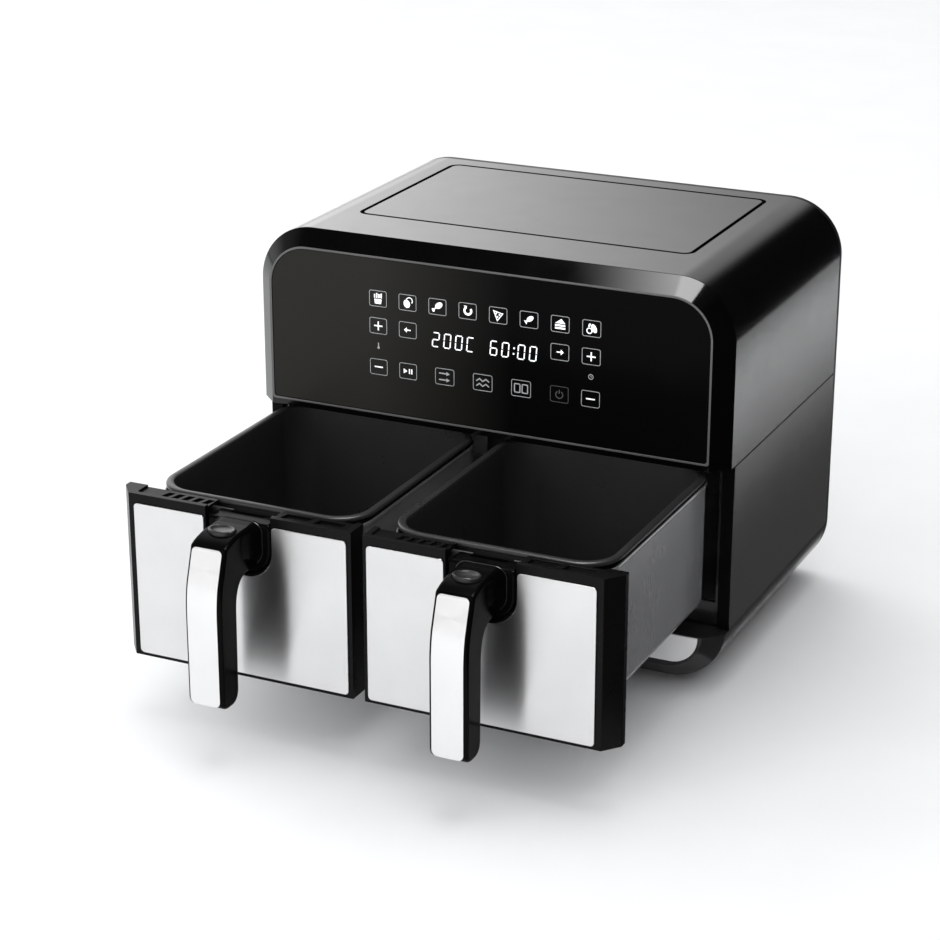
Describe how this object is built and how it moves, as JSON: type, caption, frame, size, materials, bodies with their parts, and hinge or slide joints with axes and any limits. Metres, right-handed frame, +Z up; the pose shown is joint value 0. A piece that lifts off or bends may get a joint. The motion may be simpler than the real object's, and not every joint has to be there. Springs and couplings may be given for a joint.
{
  "type": "dual basket air fryer",
  "caption": "Countertop air fryer with a sloped-edge glossy housing, a touch panel and two pull-out basket drawers with upright steel-faced grips.",
  "frame": {"origin": "centre of the box in plan at the height of the feet's undersides, with both drawers out as modelled", "axes": "+X to the right seen from the front, +Y from the drawers to the back, +Z up"},
  "size_m": [0.4, 0.547, 0.33],
  "materials": {
    "gloss_black": "high gloss black",
    "satin_black": "satin black",
    "dark_glass": "black printed glass",
    "polished_steel": "mirror polished",
    "nonstick_black": "black non-stick coating",
    "grey_metal": "grey coated steel",
    "liner_steel": "satin aluminised sheet",
    "heater_steel": "dull dark steel",
    "fan_aluminium": "plain",
    "motor_grey": "plain",
    "board_green": "circuit board",
    "rubber_black": "matt black",
    "button_grey": "semi-gloss dark grey",
    "screw_steel": "plain"
  },
  "bodies": {
    "housing": {"upper_shell": "gloss_black", "front_bezel": "gloss_black", "control_glass": "dark_glass", "top_panel": "satin_black", "lower_shell": "gloss_black", "base_tray": "gloss_black", "sill_inlay": "polished_steel", "rear_cover": "satin_black", "cord_gland": "rubber_black", "display_board": "board_green", "power_board": "board_green", "rear_screw_1": "screw_steel", "rear_screw_2": "screw_steel", "rear_screw_3": "screw_steel", "rear_screw_4": "screw_steel", "foot_front_left": "rubber_black", "foot_front_right": "rubber_black", "foot_rear_left": "rubber_black", "foot_rear_right": "rubber_black", "chamber_liner_left": "liner_steel", "heating_element_left": "heater_steel", "fan_motor_left": "motor_grey", "chamber_liner_right": "liner_steel", "heating_element_right": "heater_steel", "fan_motor_right": "motor_grey"},
    "fan_left": {"fan_left": "fan_aluminium"},
    "drawer_left": {"drawer_frame_left": "satin_black", "steel_plate_left": "polished_steel", "pan_left": "grey_metal"},
    "basket_left": {"basket_left": "nonstick_black", "handle_left": "gloss_black", "handle_strip_left": "polished_steel", "button_spring_left": "screw_steel"},
    "button_left": {"release_button_left": "button_grey"},
    "crisper_left": {"crisper_plate_left": "nonstick_black", "crisper_bumper_left_front_left": "rubber_black", "crisper_bumper_left_front_right": "rubber_black", "crisper_bumper_left_rear_left": "rubber_black", "crisper_bumper_left_rear_right": "rubber_black"},
    "fan_right": {"fan_right": "fan_aluminium"},
    "drawer_right": {"drawer_frame_right": "satin_black", "steel_plate_right": "polished_steel", "pan_right": "grey_metal"},
    "basket_right": {"basket_right": "nonstick_black", "handle_right": "gloss_black", "handle_strip_right": "polished_steel", "button_spring_right": "screw_steel"},
    "button_right": {"release_button_right": "button_grey"},
    "crisper_right": {"crisper_plate_right": "nonstick_black", "crisper_bumper_right_front_left": "rubber_black", "crisper_bumper_right_front_right": "rubber_black", "crisper_bumper_right_rear_left": "rubber_black", "crisper_bumper_right_rear_right": "rubber_black"}
  },
  "joints": [
    {"name": "drawer_slide_left", "type": "slide", "parent": "housing", "child": "drawer_left", "axis": [0, 1, 0], "range_m": [-0.06, 0.211]},
    {"name": "basket_lift_left", "type": "slide", "parent": "drawer_left", "child": "basket_left", "axis": [0, 0, 1], "range_m": [0, 0.004]},
    {"name": "button_press_left", "type": "slide", "parent": "basket_left", "child": "button_left", "axis": [0, 0, -1], "range_m": [0, 0.003], "stiffness_N_per_m": 400, "springref_m": -0.002, "deforming": ["button_spring_left"]},
    {"name": "crisper_lift_left", "type": "slide", "parent": "basket_left", "child": "crisper_left", "axis": [0, 0, 1], "range_m": [0, 0.085]},
    {"name": "fan_spin_left", "type": "hinge", "parent": "housing", "child": "fan_left", "pos_m": [-0.097, 0.1315, 0.206], "axis": [0, 0, 1], "continuous": true},
    {"name": "drawer_slide_right", "type": "slide", "parent": "housing", "child": "drawer_right", "axis": [0, 1, 0], "range_m": [-0.06, 0.211]},
    {"name": "basket_lift_right", "type": "slide", "parent": "drawer_right", "child": "basket_right", "axis": [0, 0, 1], "range_m": [0, 0.004]},
    {"name": "button_press_right", "type": "slide", "parent": "basket_right", "child": "button_right", "axis": [0, 0, -1], "range_m": [0, 0.003], "stiffness_N_per_m": 400, "springref_m": -0.002, "deforming": ["button_spring_right"]},
    {"name": "crisper_lift_right", "type": "slide", "parent": "basket_right", "child": "crisper_right", "axis": [0, 0, 1], "range_m": [0, 0.085]},
    {"name": "fan_spin_right", "type": "hinge", "parent": "housing", "child": "fan_right", "pos_m": [0.097, 0.1315, 0.206], "axis": [0, 0, 1], "continuous": true}
  ]
}
